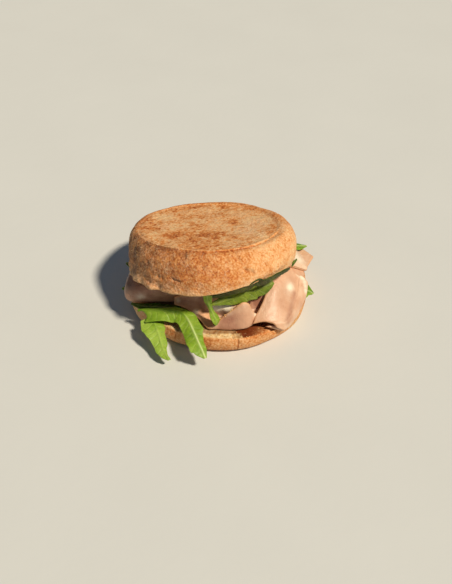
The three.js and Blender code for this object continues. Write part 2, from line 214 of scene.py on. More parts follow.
def sheet_body(grid, thickness, values):
    """Points, faces and values of a closed sheet with round edges"""
    rows, columns, _ = grid.shape
    half = thickness / 2
    inside = np.clip(edge_distance(grid) / half, 0, 1)
    swell = half * np.sqrt(np.clip(1 - (1 - inside) ** 2, 0, 1))[..., None] + 0.02
    normals = vertex_normals(grid, False)
    points = np.concatenate([grid + normals * swell, grid - normals * swell]).reshape(-1, 3)
    index = np.arange(rows * columns).reshape(rows, columns)
    a, b, c, d = index[:-1, :-1], index[:-1, 1:], index[1:, 1:], index[1:, :-1]
    upper = np.stack([a, b, c, d], -1).reshape(-1, 4)
    lower = upper[:, ::-1] + rows * columns
    rim = np.concatenate([index[0, :-1], index[:-1, -1], index[-1, :0:-1], index[:0:-1, 0]])
    ahead = np.roll(rim, -1)
    side = np.stack([ahead, rim, rim + rows * columns, ahead + rows * columns], 1)
    faces = np.concatenate([upper, lower, side]).tolist()
    doubled = {key: np.tile(numbers.ravel(), 2) for key, numbers in values.items()}
    doubled["under"] = np.repeat([0.0, 1.0], rows * columns)
    return points, faces, doubled


# ---- muffin ----


def unevenness(angle):
    """How far the muffin's side stands out at an angle, as it isn't a true circle"""
    a = np.radians(angle)
    return 0.35 * np.sin(3 * a + 0.6) + 0.3 * np.sin(5 * a + 2.1) + 0.2 * np.sin(9 * a + 0.4)


def crumb_holes(points, count, largest, seed, reach):
    """Depth of the open bubbles in a cut face: many small bowls, a few large ones"""
    draw = np.random.default_rng(seed)
    depth = np.zeros(len(points))
    centres = points[draw.integers(0, len(points), count)] + draw.normal(0, 0.5, (count, 3))
    sizes = 0.3 + largest * draw.random(count) ** 3
    for centre, size in zip(centres, sizes):
        near = np.flatnonzero(np.abs(points - centre).max(1) < size)
        away = np.linalg.norm(points[near] - centre, axis=1) / size
        depth[near] = np.maximum(depth[near], reach * size * np.clip(1 - away**2, 0, 1))
    return depth


AROUND = 480
CRACK = {"angle": -78, "depth": 0.9, "width": 1.3, "bottom": 1}
BASE_PROFILE = [
    # inset from the radius, height, wear, crumb
    (0.7 * BASE_RADIUS, 0, 0, 0),
    (5.5, 0, 0, 0),
    (2.6, 0.9, 0, 0),
    (0.8, 2.9, 0, 0),
    (0, 6.3, 0, 0),
    (0.3, 9, 0, 0),
    (0.7, BASE_HEIGHT - 0.5, 1, 0),
    (1.5, BASE_HEIGHT, 0.9, 1),
    (3, BASE_HEIGHT, 0.75, 1),
    (0.25 * BASE_RADIUS, BASE_HEIGHT - 0.2, 0.1, 1),
    (0.7 * BASE_RADIUS, BASE_HEIGHT - 0.3, 0, 1),
]


def crack(grid, angle, z, r):
    """How far the split in the rim stands open: it narrows as it runs in and down"""
    turn = angle - CRACK["angle"]
    crooked = 0.35 * noise(np.repeat(grid[..., 2:], 3, axis=-1), 2.5, 6)
    across = np.abs(np.abs(turn * np.radians(1) * BASE_RADIUS) + crooked * np.sign(turn))
    opening = CRACK["width"] / 2 * smoothstep(z, CRACK["bottom"], BASE_HEIGHT)
    split = np.clip(1 - across / (opening + 0.15), 0, 1) ** 0.6 * (opening > 0.01)
    start = BASE_RADIUS - CRACK["depth"]
    return split * smoothstep(r, start - 1.5, start + 1.5)


def muffin_bottom():
    at_crack = CRACK["angle"] + np.linspace(-3, 3, 41)
    angle = np.unique(np.concatenate([np.linspace(-180, 180, AROUND, endpoint=False), at_crack]))
    rows = [[0, 0.5, 0.95], np.arange(1, 7, 0.08), np.arange(7, 9, 0.08), np.linspace(9, 10, 24)]
    table = spline(BASE_PROFILE, np.concatenate(rows) / (len(BASE_PROFILE) - 1))
    inset, height, wear, crumb = (column[:, None] for column in table.T)
    radius = BASE_RADIUS - inset
    crumb = np.clip(crumb, 0, 1)
    worn = np.clip(wear, 0, 1) * bump(angle, CRACK["angle"] + 24, 20)
    outward = smoothstep(radius, 0.7 * BASE_RADIUS, BASE_RADIUS)
    fuller = 2 * bump(angle, -42, 20) - 1.8 * bump(angle, 4, 18) - 1.1 * bump(angle, -112, 26)
    r = radius + outward * (unevenness(angle) + fuller) - 0.8 * worn
    z = np.maximum(height, 0) - 2.9 * worn
    a = np.radians(angle)
    grid = np.stack([r * np.cos(a), r * np.sin(a), z], -1)
    shape = grid.shape[:2]
    flat = grid.reshape(-1, 3)

    side = (smoothstep(z, 0.3, 2) * (1 - crumb)).ravel()
    cut = (crumb * smoothstep(z, BASE_HEIGHT - 3, BASE_HEIGHT - 1)).ravel()
    depth = np.zeros(len(flat))
    depth[cut > 0.6] = crumb_holes(flat[cut > 0.6], 9000, 0.8, 5, 0.6)
    push = 0.3 * noise(flat, 14, 1) + 0.16 * rough(flat, 4, 3, 2) + 0.05 * rough(flat, 1.1, 2, 3)
    push = side * push + cut * (0.14 * rough(flat, 2.4, 3, 4) - 0.1) - depth
    opened = crack(grid, angle, z, r)
    inward = opened * CRACK["depth"] * (1 - crumb)
    grid = grid + vertex_normals(grid, True) * push.reshape(shape)[..., None]
    grid = grid - np.stack([inward * np.cos(a), inward * np.sin(a), 2.5 * opened * crumb], -1)
    grid[..., 2] = np.maximum(grid[..., 2], 0)

    # painted shade: the cut face is coloured dark red-brown under the right ham's lip, darker over the
    # inner cut face up to the ham's foot, and a little darker all over
    cut_shade = smoothstep(angle, -80, -70) * smoothstep(-angle, 40, 50) * smoothstep(-r, -50, -47.6)
    cut_shade = 1.7 * cut_shade + 0.6 * smoothstep(-r, -44.8, -43.6) + 0.1
    toast = 0.45 - 0.3 * bump(angle, -34, 16) - 0.5 * bump(angle, -156, 22) + 0.1 * smoothstep(z, 5, 10)
    values = {
        "crumb": cut.reshape(shape),
        # painted shade: the crumb is coloured darker the deeper its holes, and in the crack
        "painted_hole_shade": np.clip(depth / 0.9, 0, 1).reshape(shape) + 0.3 * opened,
        "painted_cut_shade": cut_shade * (0.9 + 0.25 * rough(flat, 2.4, 3, 9).reshape(shape)),
        "toast": toast + 0.18 * rough(flat, 12, 2, 8).reshape(shape),
        "speckle_and_pit_shade": np.full(shape, 0.15),
        "flour": 0.35 * (1 - smoothstep(z, 1, 5)) + 0.15,
    }
    return ring_body(grid, values)


# Rows on the lid's cut face and on its pressed face: each row's share of the way out from the
# middle, and how far it lies below the face's edge
CUT_ROWS = [(0.2, -0.6), (0.6, -0.6), (0.93, -0.5)]
FACE_ROWS = [(1, 0), (0.95, 0.35), (0.8, 0.3), (0.5, 0.2), (0.04, 0.1)]
LID_ROWS = [
    # inset from the radius, share, drop, height, shift x y, lean x y, lift, crease, crumb
    *[(2, share, drop, 0, 0, 0, 0, 0, 1, 0, 1) for share, drop in CUT_ROWS],
    (2, 1, 0, 0, 0, 0, 0, 0, 1, 0, 0.6),
    (0.4, 1, 0, 2.6, 1.1, 0.5, 0, 1, 0.5, 0, 0),
    (0, 1, 0, 6.5, 1.7, 1, 0, 2, 0.15, 0, 0),
    (0.5, 1, 0, 10.8, 2, 1.9, 0.5, 2.5, 0, 0, 0),
    (1.5, 1, 0, 13.6, 1.6, 2.5, 1, 2.2, 0, 0, 0),
    (3, 1, 0, 15.6, 0.9, 2.8, 1.3, 2, 0, 0, 0),
    (5, 1, 0, 16.4, 0.9, 2.4, 2.6, 3.6, 0, 0, 0),
    (7.1, 1, 0, 17, 1.1, 2.2, 4, 5.5, 0, 0.6, 0),
    *[(8, share, drop, 17.3, 1.3, 2.2, 4, 5.5, 0, 0, 0) for share, drop in FACE_ROWS],
]
RIDGE_ROW = 11

# On the lid, in its own frame: short creases and pits in its side, from one angle and height
# to another, and where its pressed face is toasted or floury
LID_FURROWS = [
    # start, end, width, depth
    ((-126, 9.2), (-123, 8.4), 1.1, 1.2),
    ((-122.5, 8.4), (-120, 8), 0.9, 1.0),
    ((-115, 8.9), (-111.6, 7.8), 0.8, 1.3),
    ((-111.6, 7.8), (-107, 7.3), 0.7, 1.0),
    ((-134, 5), (-131, 4.6), 1.0, 0.9),
    ((-137, 13.6), (-133, 14), 1.0, 0.6),
    ((-106.5, 18.4), (-103.5, 18.8), 1.1, 0.8),
    ((-66.6, 16.6), (-65.4, 13.2), 0.6, 0.9),
    ((-64.6, 10.8), (-61.5, 8.4), 0.6, 0.7),
    ((-60.5, 9.6), (-57.5, 6), 0.6, 0.6),
    ((-75, 16.6), (-73, 14), 0.5, 0.4),
    ((-94, 14), (-90, 13), 0.9, 0.3),
    ((-50, 11), (-47, 8), 0.7, 0.35),
]
TOASTED_SPOTS = [
    # x, y, radius, strength
    (-28, 9, 6, 0.25),
    (-26, 0, 6, 0.35),
    (-15, -12, 6, 0.45),
    (0, -13, 7, 0.45),
    (8, -10, 5, 0.2),
    (-4, -26, 8, 0.34),
    (8, -28, 6, 0.18),
    (6, 23, 5, 0.3),
    (13, 8, 4, 0.45),
    (-8, 6, 6, 0.15),
    (-18, 32, 6, 0.3),
    (-4, 37, 8, 0.35),
    (10, 37, 7, 0.35),
    (25, 31, 6, 0.35),
    (33, 20, 4, 0.3),
    (36, -8, 3.5, 0.35),
    (22, -21, 4, 0.25),
]
PALE_SPOTS = [
    (25, 8, 9, 0.3),
    (20, -4, 8, 0.25),
    (26, -13, 7, 0.25),
    (16, -22, 4, 0.2),
    (-20, 3, 6, 0.2),
    (-22, 18, 7, 0.2),
    (-3, 28, 7, 0.15),
    (16, 22, 6, 0.15),
    (3, 9, 5, 0.15),
    (2, 20, 4, 0.1),
]


def spots(points, places):
    """Soft round spots seen from above, each given as x, y, radius and strength, added up"""
    x, y = points[:, 0], points[:, 1]
    return sum(
        strength * hill(x, cx, radius) * hill(y, cy, radius) for cx, cy, radius, strength in places
    )


def furrow(points, start, end, width):
    """1 along a line on the lid's side between two places, each given as angle and height,
    fading to 0 over a width"""
    arc = np.radians(1) * LID_RADIUS
    place = np.stack([np.degrees(np.arctan2(points[:, 1], points[:, 0])) * arc, points[:, 2]], 1)
    start, end = np.array(start) * [arc, 1], np.array(end) * [arc, 1]
    along = np.clip((place - start) @ (end - start) / ((end - start) @ (end - start)), 0, 1)
    away = np.linalg.norm(place - start - along[:, None] * (end - start), axis=1)
    return hill(away, 0, width) * np.sin(np.pi * np.clip(along, 0.1, 0.9))


def soften_profile(grid, size, share):
    """Rounds a body's profile off over a length, as far as share says from 0 to 1"""
    steps = np.linalg.norm(np.diff(grid, axis=0), axis=2).mean(1)
    along = np.concatenate([[0], np.cumsum(steps)])
    weights = hill(along[:, None], along, size * np.sqrt(2)) * np.gradient(along)
    weights /= weights.sum(1, keepdims=True)
    return lerp(grid, np.tensordot(weights, grid, 1), share[..., None])


def lid_form(angle):
    """The lid's smooth form in its own frame, with each row's number and share of crumb"""
    last = len(LID_ROWS) - 1
    pieces = [(0, 2, 5), (2, 4, 12), (4, 9, 12), (9, RIDGE_ROW + 1, 14), (RIDGE_ROW + 1, last, 22)]
    rows = np.concatenate([np.arange(start, stop, 1 / n) for start, stop, n in pieces] + [[last]])
    columns = (column[:, None] for column in spline(LID_ROWS, rows / last).T)
    inset, share, drop, height, shift_x, shift_y, lean_x, lean_y, lift, crease, crumb = columns
    rows = rows[:, None]
    a = np.radians(angle)
    r = share * (LID_RADIUS - inset + unevenness(angle + 140) - 0.9 * bump(angle, 2, 32))
    drop = drop * np.where(rows > 9, 0.2 + 0.8 * bump(angle, -118, 42), 1)
    x, y, z = r * np.cos(a), r * np.sin(a), -drop
    lean, roll = -np.radians(lean_x), np.radians(lean_y)
    x, z = x * np.cos(roll) + z * np.sin(roll), z * np.cos(roll) - x * np.sin(roll)
    y, z = y * np.cos(lean) - z * np.sin(lean), y * np.sin(lean) + z * np.cos(lean)
    wavy = 2.2 * bump(angle, -145, 30) + 1.2 * bump(angle, -58, 22) - 2.4 * bump(angle, -12, 22)
    z = z + height + lift * wavy - crease * bump(angle, -88, 48)
    grid = np.stack([x + shift_x, y + shift_y, z], -1)
    soft = 1 - smoothstep(bump(angle, -80, 64), 0.18, 0.5)
    upper = smoothstep(rows, 6, 7.5) * smoothstep(-rows, -15, -13.5)
    grid = soften_profile(grid, 2.3, upper * soft)
    fuller = hill(rows, 10, 2.2) * soft
    grid[..., 2] += 1.2 * fuller
    grid[..., :2] *= 1 + (0.03 * fuller * (0.4 + bump(angle, -178, 40)))[..., None]
    lip = (hill(height, 1.4, 1.5) - hill(height, 4.8, 1.6)) * bump(angle, -150, 42)
    lip = lip * smoothstep(rows, 2.6, 3) * smoothstep(-rows, -6, -5.5)
    grid[..., :2] += (0.5 * lip)[..., None] * np.stack([np.cos(a), np.sin(a)], -1)
    return grid, rows, np.clip(crumb, 0, 1)


def lid_relief(points, face, side, left, rim, ridge):
    """How far the crust stands out, and how deep the creases and pits in its side are"""
    push = 0.4 * noise(points, 20, 1)
    push += side * (0.25 * rough(points, 6, 3, 2) + 0.07 * rough(points, 1.3, 2, 3))
    push += face * (0.25 * rough(points * [1, 0.8, 1], 4, 3, 4) + 0.3 * noise(points, 11, 5))
    push += face * 0.1 * rough(points, 1.7, 2, 13)
    push -= 0.3 * left * smoothstep(noise(points, 4, 6), 0.2, 0.8)
    push -= 0.12 * left * smoothstep(noise(points, 1.4, 7), 0.1, 0.7)
    push += ridge * (0.35 * noise(points, 4.5, 11) + 0.12 * noise(points, 1.6, 12))
    push += 1.4 * rim * left * noise(points, 3.4, 8) + 0.3 * rim * side * noise(points, 4, 9)
    lines = (depth * furrow(points, start, end, width) for start, end, width, depth in LID_FURROWS)
    pits = side * sum(lines)
    return push - pits, pits


def muffin_top():
    angle = np.linspace(-180, 180, AROUND, endpoint=False)[None]
    grid, rows, crumb = lid_form(angle)
    shape = grid.shape[:2]
    flat = grid.reshape(-1, 3)

    def spread(values):
        return np.broadcast_to(values, shape).ravel()

    face = smoothstep(spread(rows), RIDGE_ROW + 0.2, RIDGE_ROW + 1.2)
    cut = spread(crumb)
    side = (1 - face) * (1 - cut)
    left = spread(bump(angle, -148, 42)) * side
    rim = spread(hill(rows, 3.5, 1.2))
    push, pits = lid_relief(flat, face, side, left, rim, spread(hill(rows, RIDGE_ROW + 0.2, 0.9)))
    depth = np.zeros(len(flat))
    depth[cut > 0.7] = crumb_holes(flat[cut > 0.7], 2600, 1.6, 6, 0.6)
    push += cut * 0.25 * rough(flat, 3.2, 3, 4) - depth
    grid = grid + vertex_normals(grid, True) * push.reshape(shape)[..., None]

    pale = spots(flat, PALE_SPOTS)
    marks = 0.38 * rough(flat * [1, 0.8, 1], 5, 3, 15) + 0.55 * rough(flat * [1, 0.8, 1], 1.5, 2, 16)
    face_toast = 0.3 + 0.9 * marks + 0.85 * spots(flat, TOASTED_SPOTS) - 0.7 * pale
    side_toast = 0.52 + 0.12 * bump(angle, -95, 35) - 0.24 * bump(angle, -25, 42)
    side_toast += 0.04 * bump(angle, -150, 40)
    toast = (1 - face) * spread(side_toast) + face * np.clip(face_toast, 0.24, 0.8)
    toast -= 0.15 * rim * side
    ridge = hill(rows, RIDGE_ROW, 0.5)
    toast -= 0.4 * spread(ridge * bump(angle, -122, 32))
    # painted shade: the crease row just below the ridge is coloured darker, most at the front right
    toast += 0.3 * spread(hill(rows, RIDGE_ROW - 1, 0.4) * (0.2 + bump(angle, -66, 34)))
    flour = 0.32 + 0.15 * left + 0.25 * rim * side + face * (1.6 * pale - 0.4 * marks - 0.15)
    values = {
        "crumb": cut,
        # painted shade: the crumb is coloured darker the deeper its holes
        "painted_hole_shade": depth / 0.9,
        "toast": toast,
        # painted shade: the side's pits and creases take the duller, darker crust colour as well
        "speckle_and_pit_shade": left * (1 - 0.8 * spread(ridge)) + pits,
        "flour": flour,
    }
    values = {key: np.clip(numbers, 0, 1).reshape(shape) for key, numbers in values.items()}
    points, faces, filled = ring_body(grid, values)
    return points @ LID_TILT.T + LID_PLACE, faces, filled


# ---- ham ----


def lid_underside(x, y):
    """Height of the lid's cut face over a place on the base"""
    normal = LID_TILT[:, 2]
    fall = normal[0] * (x - LID_PLACE[0]) + normal[1] * (y - LID_PLACE[1])
    return LID_PLACE[2] - fall / normal[2]


def under_lid(x, y):
    return lid_underside(x, y) - CLEARANCE


def mound_top(x, y):
    return np.minimum(under_lid(x, y), 13.4 + 0.9 * np.maximum(0, 48 - np.hypot(x, y)))


def rounded_outline(corners, rounding, count):
    """Closed outline through a few corners in plan, each corner rounded"""
    corners = np.array(corners, float)
    path = []
    for before, corner, after in zip(np.roll(corners, 1, 0), corners, np.roll(corners, -1, 0)):
        legs = (before - corner, after - corner)
        ends = [corner + leg * rounding / np.linalg.norm(leg) for leg in legs]
        t = np.linspace(0, 1, 12)[:, None]
        path.append((1 - t) ** 2 * ends[0] + 2 * t * (1 - t) * corner + t * t * ends[1])
    path = np.vstack(path + [path[0][:1]])
    length = path_length(path)
    even = np.linspace(0, length[-1], count, endpoint=False)
    return np.stack([np.interp(even, length, path[:, 0]), np.interp(even, length, path[:, 1])], 1)


def layer_body(corners, lower, upper, edge, folds, seed):
    """Folded slices pressed into one layer: an outline with a round edge between two
    surfaces, with the slices' edges showing as folds where folds says so"""
    outline = rounded_outline(corners, 6, 400)
    centre = outline.mean(0)
    span = np.linalg.norm(outline - centre, axis=1)
    turns = np.radians(np.linspace(-90, 90, 41))
    inner = np.array([0.35, 0.55, 0.7, 0.85, 0.95])
    profile = [(lerp(span, edge, part), 0) for part in inner]
    profile += [(edge * (1 - np.cos(turn)), (1 + np.sin(turn)) / 2) for turn in turns]
    profile += [(lerp(span, edge, part), 1) for part in 1 - np.linspace(0.02, 0.65, 26)]
    rings = []
    for inset, share in profile:
        x, y = (outline + (centre - outline) * (inset / span)[:, None]).T
        rings.append(np.stack([x, y, lerp(lower(x, y), upper(x, y), share)], 1))
    grid = np.array(rings)
    shape = grid.shape[:2]
    flat = grid.reshape(-1, 3)
    shares = np.array([share for _, share in profile])[:, None]
    at_edge = np.broadcast_to(np.sin(np.pi * shares), shape).ravel()
    where = np.broadcast_to(folds(outline[:, 0], outline[:, 1]), shape).ravel()
    depth = flat[:, 2] + 0.8 * noise(flat, 14, seed)
    between = np.abs(np.sin(np.pi * depth / 1.9)) ** 0.5
    push = at_edge * where * (0.9 * between - 1.1 + 1.2 * noise(flat * [1, 1, 3], 7, seed + 1))
    push += 0.25 * noise(flat, 9, seed + 2) * (1 - 0.5 * at_edge) + 0.06 * noise(flat, 2.5, seed + 3)
    grid = grid + vertex_normals(grid, True) * push.reshape(shape)[..., None]
    values = {
        "fat_and_highlight": np.zeros(shape),
        "rind": (at_edge * where * (1 - between) * 0.6).reshape(shape),
        "rose_and_shade": np.full(shape, 0.1),
    }
    return grid, values


def bent_line(corners, bend, legs=7, steps=9):
    """Straight legs between corner points, with a soft bend at each inner corner"""
    line = []
    start = corners[0]
    for before, corner, after in zip(corners[:-2], corners[1:-1], corners[2:]):
        ends = []
        for other in (before, after):
            leg = other - corner
            size = np.linalg.norm(leg)
            ends.append(corner + leg * min(bend, 0.45 * size) / size)
        t = np.linspace(0, 1, steps, endpoint=False)[:, None]
        line.append(lerp(start, ends[0], np.linspace(0, 1, legs, endpoint=False)[:, None]))
        line.append((1 - t) ** 2 * ends[0] + 2 * t * (1 - t) * corner + t * t * ends[1])
        start = ends[1]
    line.append(lerp(start, corners[-1], np.linspace(0, 1, legs + 1)[:, None]))
    return np.vstack(line)


def folded_grid(stations, bend, along):
    """One slice: its folded section is given at a few stations and blended along it"""
    t = np.linspace(0, 1, along)
    stations = np.array(stations, float)
    tracks = np.stack([spline(stations[:, i], t) for i in range(stations.shape[1])], 1)
    return np.array([bent_line(section, bend) for section in tracks])


EDGE_STEPS = (0.05, 0.18, 0.4, 0.75)


def slice_body(grid, seed, fat_and_highlight_spots, rose_and_shade_spots=(), ripple=0.35, tan_spots=()):
    """A ham slice round a grid of points, gently uneven. Each spot of fat and painted highlight,
    of deeper rose and painted shade, or of tan is a place, a radius and a strength."""
    push = ripple * noise(grid, 8, seed) + 0.12 * noise(grid, 3, seed + 1)
    grid = close_edges(grid + vertex_normals(grid, False) * push[..., None], EDGE_STEPS)
    flat = grid.reshape(-1, 3)
    shape = grid.shape[:2]
    uneven = 1 + 0.3 * noise(flat, 2.5, seed + 3)
    tan_patches = 2 * clouds(flat, tan_spots).reshape(shape)
    values = {
        "fat_and_highlight": (clouds(flat, fat_and_highlight_spots) * uneven).reshape(shape),
        "rose_and_shade": clouds(flat, rose_and_shade_spots).reshape(shape),
        "rind": 1 - smoothstep(edge_distance(grid), 0.1, 1.1) + tan_patches,
    }
    return sheet_body(grid, HAM, values)


def clouds(points, places):
    """Soft round spots, each given as x, y, z, radius and strength"""
    total = np.zeros(len(points))
    for *place, radius, strength in places:
        away = np.linalg.norm((points - place) / radius, axis=1)
        total = np.maximum(total, strength * hill(away, 0, 1))
    return total


def trail(knots, count, radius, strength):
    """Even spots along a curve through the knots"""
    return [(*place, radius, strength) for place in spline(knots, np.linspace(0, 1, count))]


def ham_left():
    corners = [(-48.8, -24.8), (-8, -25.6), (-5.4, 46.5), (-31, 42), (-46, 4)]
    grid, values = layer_body(
        corners,
        lambda x, y: BASE_HEIGHT + CLEARANCE + 1.3 * smoothstep(-y, 2, 20),
        lambda x, y: np.minimum(under_lid(x, y), 27.5 - 6 * smoothstep(-x, 26, 50)),
        3.2,
        lambda x, y: smoothstep(y, -16, 2),
        21,
    )
    fat_and_highlight = clouds(grid.reshape(-1, 3), [(-39.4, -26, 18, 2.8, 0.6), (-29, -26, 19.5, 2.4, 0.15)])
    values["fat_and_highlight"] = fat_and_highlight.reshape(grid.shape[:2])
    # painted shade: the slice lies in the lid's shade and is coloured darker and rosier, less so at its
    # far-left end
    values["rose_and_shade"] = 0.95 - 0.3 * smoothstep(-grid[..., 0], 40, 46)
    return ring_body(grid, values)


def ham_middle():
    corners = [(30, -17), (46.4, -14), (46.4, 6), (37, 33), (14, 47), (-5.6, 46), (-5.6, -17)]
    grid, values = layer_body(
        corners,
        lambda x, y: BASE_HEIGHT + CLEARANCE,
        lambda x, y: mound_top(x, y) - 2 * HAM,
        1,
        lambda x, y: smoothstep(x + y, 30, 40),
        31,
    )
    return ring_body(grid, values)


def ham_corner():
    edges = np.array([[(24, -13), (47.2, 3.2)], [(14, 10), (52.4, 14.4)], [(6, 30), (31, 40)]], float)
    corner_at = 0.4
    v = np.linspace(0, 1, 90)
    leg = (v >= corner_at).astype(int)
    share = np.where(leg, (v - corner_at) / (1 - corner_at), v / corner_at)[:, None]
    inner, outer = (lerp(edges[leg, side], edges[leg + 1, side], share) for side in (0, 1))
    plan = lerp(inner[None], outer[None], np.linspace(0, 1, 70)[:, None, None])
    x, y = plan[..., 0], plan[..., 1]
    pressed = 1.3 * (1 - smoothstep(v, 0, 0.09)) * smoothstep(x, 30, 36)
    grid = np.stack([x, y, mound_top(x, y) - 0.55 * HAM - pressed], -1)
    tan = [(51, 5, 14.5, 3, 0.25), (52, 11, 14, 3, 0.25), (48, 3.4, 16, 2.4, 0.15), (45, 19, 16, 3, 0.2)]
    return slice_body(grid, 41, [(42, 9, 18, 9, 0.8), (46, 7, 16, 1.6, 0.5)], (), 0.15, tan)


def ham_right():
    stations = [
        [(17.6, -40.4, 14), (23, -40.2, 15.6), (28, -40.6, 14.6), (29.4, -41.4, 12.2),
         (33, -41.2, 10.4), (31, -40, 9.6), (24, -40, 11.8)],
        [(18.8, -37.5, 16.4), (25.4, -37.7, 17), (33.2, -38.4, 13.6), (35, -38, 13.8),
         (36.6, -36.9, 10.6), (35, -36.7, 9.6), (31, -37, 11.4)],
        [(21.4, -33.5, 19.4), (27.6, -33.5, 19.8), (35.9, -34, 14.4), (38, -33.4, 14.8),
         (39.6, -32.2, 11), (38, -32, 10), (34, -33, 11.8)],
        [(24.3, -27.5, 24), (29.8, -27.5, 23.8), (37.8, -27.5, 15.8), (40.2, -27.2, 16),
         (42.2, -26.6, 12.2), (40.6, -26.6, 11), (36, -27, 12.2)],
        [(25, -20, 28.5), (33.5, -20, 26.6), (40, -20, 18.6), (42.4, -20, 18.8),
         (45.3, -19.6, 14.2), (43.8, -19.6, 12.2), (39, -20, 12.8)],
        [(27, -12, 31), (35, -12, 28), (41, -12, 21.6), (43.6, -12, 21.6),
         (46.8, -12, 17), (45.6, -12, 13.8), (41, -12, 13.2)],
    ]
    rim = [(41.5, -11.5, 22.6), (43, -12.2, 21.8), (44.2, -13.2, 20.8)]
    rim += [(45, -14.8, 19.6), (45.5, -16.4, 18.2), (45.8, -18.2, 16.6)]
    band = [(42.7, -19, 18.4), (42.7, -22.9, 17), (42, -26.4, 16), (41.2, -29.4, 15)]
    band += [(39.8, -33, 13.6), (38.4, -36, 12.5), (36.6, -37.8, 11.6), (34.4, -39.2, 11)]
    valley = [(38.7, -22.6, 18.7), (38, -25.6, 17.4), (37.2, -28.6, 16.4)]
    valley += [(36.3, -31.6, 15.4), (35.4, -34.8, 14.2), (34.6, -37.4, 13)]
    # painted highlights: the bright patch on the lobe, the rim, the pale band along the roll and the
    # lobe's lower edge are painted in the fat colour
    fat_and_highlight = [(36.4, -22, 22.2, 3.3, 1), (35.8, -24.2, 21.6, 3, 0.6)]
    fat_and_highlight += [(40, -34, 11, 5, 0.4), (30, -42, 11, 3, 0.5)]
    fat_and_highlight += [(*place, 1.9, 1.1) for place in rim] + trail(band, 22, 1.6, 0.34)
    # painted shade: darker, rosier ham near the lid, at the lip and along the fold's valley, with a
    # broad darker tone over the slice
    rose_and_shade = [(24, -36, 16, 6, 0.15), (29, -16, 28, 7, 0.45)]
    rose_and_shade += [(30, -27, 20, 13, 0.42), (27, -41, 12, 3, 0.6)] + trail(valley, 20, 1.9, 0.75)
    return slice_body(folded_grid(stations, 4.4, 90), 51, fat_and_highlight, rose_and_shade)


def ham_center():
    sections = {
        -22: [(-27.2, 20.5), (-27.3, 19.3), (-27.4, 18.2), (-27.6, 16.8), (-28, 15.8)],
        -15.5: [(-27.4, 22.5), (-27.6, 20.6), (-28, 19), (-29.6, 16), (-30.6, 15)],
        -9: [(-27.5, 24), (-29.3, 21), (-30, 18), (-35.6, 14.4), (-37, 13.6)],
        -4.6: [(-23.6, 27.4), (-33, 20.2), (-32.4, 15.6), (-40, 12.2), (-42, 12.6)],
        -1.6: [(-21.4, 28.6), (-35, 20.4), (-33.4, 14.6), (-41.4, 11.5), (-42, 14.6)],
        1.4: [(-20, 29), (-35.6, 20.8), (-33.6, 14), (-41.8, 11.3), (-39.8, 17.2)],
        7: [(-20, 29.6), (-36, 21), (-34.4, 13.8), (-42, 11.3), (-38.2, 21.4)],
        12.6: [(-20, 30), (-33, 21), (-33.4, 14.2), (-41.6, 11.3), (-36.9, 25.4)],
        15.4: [(-20.5, 30), (-31, 20), (-32, 14.8), (-40.4, 11.5), (-36.2, 24)],
        17: [(-22, 28), (-30, 17), (-31, 14.8), (-39.4, 12), (-36.7, 20.4)],
        18.6: [(-24, 26), (-29.5, 16.5), (-30.8, 14.6), (-38.2, 12.6), (-36.2, 17.6)],
        22: [(-25, 24), (-29, 16.6), (-30.4, 14.8), (-35.8, 12.8), (-34.6, 16)],
        25.4: [(-26, 23), (-28.4, 16.6), (-29.6, 15), (-34.6, 13), (-33, 15.6)],
    }
    stations = [[(x, y, z) for y, z in corners] for x, corners in sections.items()]
    # painted highlights: the lit rims of the back leg and the white strip at the right end are painted
    # in the fat colour, beside real fat
    fat_and_highlight = [(-10.9, -34, 16.2, 2, 1), (-3, -41.6, 14, 2.2, 0.5), (0, -35, 20.4, 3, 1.3)]
    fat_and_highlight += [(5, -35.8, 21, 3, 1.2), (19, -36.2, 17.6, 1.8, 1.2), (21.4, -35, 16.4, 1.8, 1.2)]
    fat_and_highlight += [(14, -37, 25, 2.4, 0.4), (-20, -28, 18.5, 1.6, 0.5)]
    # painted shade: darker, rosier ham on the back leg under the lid, over the front flap and by the gap
    # next to ham_right
    rose_and_shade = [(-16, -28, 19, 9, 1.1), (-8, -31, 20, 5, 1.3), (5, -41, 16, 9, 1.1)]
    rose_and_shade += [(12.4, -39.4, 18.6, 3.4, 0.5), (3, -33.5, 15, 3, 0.9), (20, -29, 19, 5, 1.4)]
    # a tan patch in the hollow of the fold
    return slice_body(folded_grid(stations, 2.2, 130), 61, fat_and_highlight, rose_and_shade, 0.25, [(-5, -36, 15, 4, 0.6)])


# ---- rocket leaves ----


def leaf_spine(stations, up):
    """A blade's midrib: each point's share along it and its place, the blade's widths to the
    left and right, and the directions forward and to the side"""
    stations = np.array(stations, float)
    t = np.linspace(0, 1, 170)
    rib = spline(stations[:, 3:], t)
    left, right, lean = spline(stations[:, :3], t).T
    forward = unit(np.gradient(rib, axis=0))
    level = unit(np.cross(forward, up))
    tilt = np.radians(lean)[:, None]
    side = level * np.cos(tilt) + np.cross(forward, level) * np.sin(tilt)
    return t, rib, np.maximum([left, right], 0.35), forward, side


